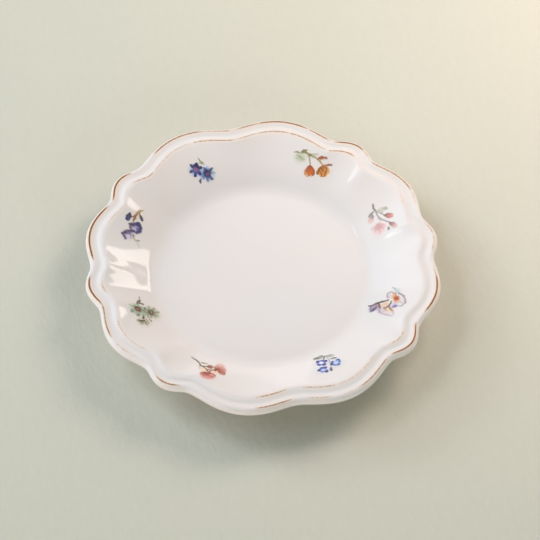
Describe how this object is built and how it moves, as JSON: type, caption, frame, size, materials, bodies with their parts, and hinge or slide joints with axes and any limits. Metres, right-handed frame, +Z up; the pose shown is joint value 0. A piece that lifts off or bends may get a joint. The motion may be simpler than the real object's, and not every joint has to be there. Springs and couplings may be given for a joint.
{
  "type": "dessert plate",
  "caption": "Round scalloped porcelain dessert plate: flat well, fluted cavetto, hollow border with worn gilt lines, strewn flower sprigs and a foot ring.",
  "frame": {"origin": "middle of the foot ring's resting face, on the table", "axes": "+Z up out of the well; X through the two end lobes of the rim; Y through the notches between the wide lobes"},
  "size_m": [0.1894, 0.1866, 0.0217],
  "materials": {
    "porcelain": "clear glossy glaze over white porcelain",
    "gilding": "worn brown-gold lustre line",
    "blue_daisy_sprig_print": "overglaze blue daisy print",
    "orange_bell_sprig_print": "overglaze orange bell flower print",
    "pink_bud_sprig_print": "overglaze pale pink bud print",
    "lilac_blossom_sprig_print": "overglaze lilac and white blossom print",
    "forget_me_not_sprig_print": "overglaze small blue flower print",
    "coral_flower_sprig_print": "overglaze coral flower print",
    "grey_star_sprig_print": "overglaze grey-green star flower print",
    "violet_sprig_print": "overglaze violet flower print"
  },
  "bodies": {
    "root": {"plate_body": "porcelain", "outer_gilt_line": "gilding", "inner_gilt_line": "gilding", "blue_daisy_sprig": "blue_daisy_sprig_print", "orange_bell_sprig": "orange_bell_sprig_print", "pink_bud_sprig": "pink_bud_sprig_print", "lilac_blossom_sprig": "lilac_blossom_sprig_print", "forget_me_not_sprig": "forget_me_not_sprig_print", "coral_flower_sprig": "coral_flower_sprig_print", "grey_star_sprig": "grey_star_sprig_print", "violet_sprig": "violet_sprig_print"}
  },
  "joints": []
}
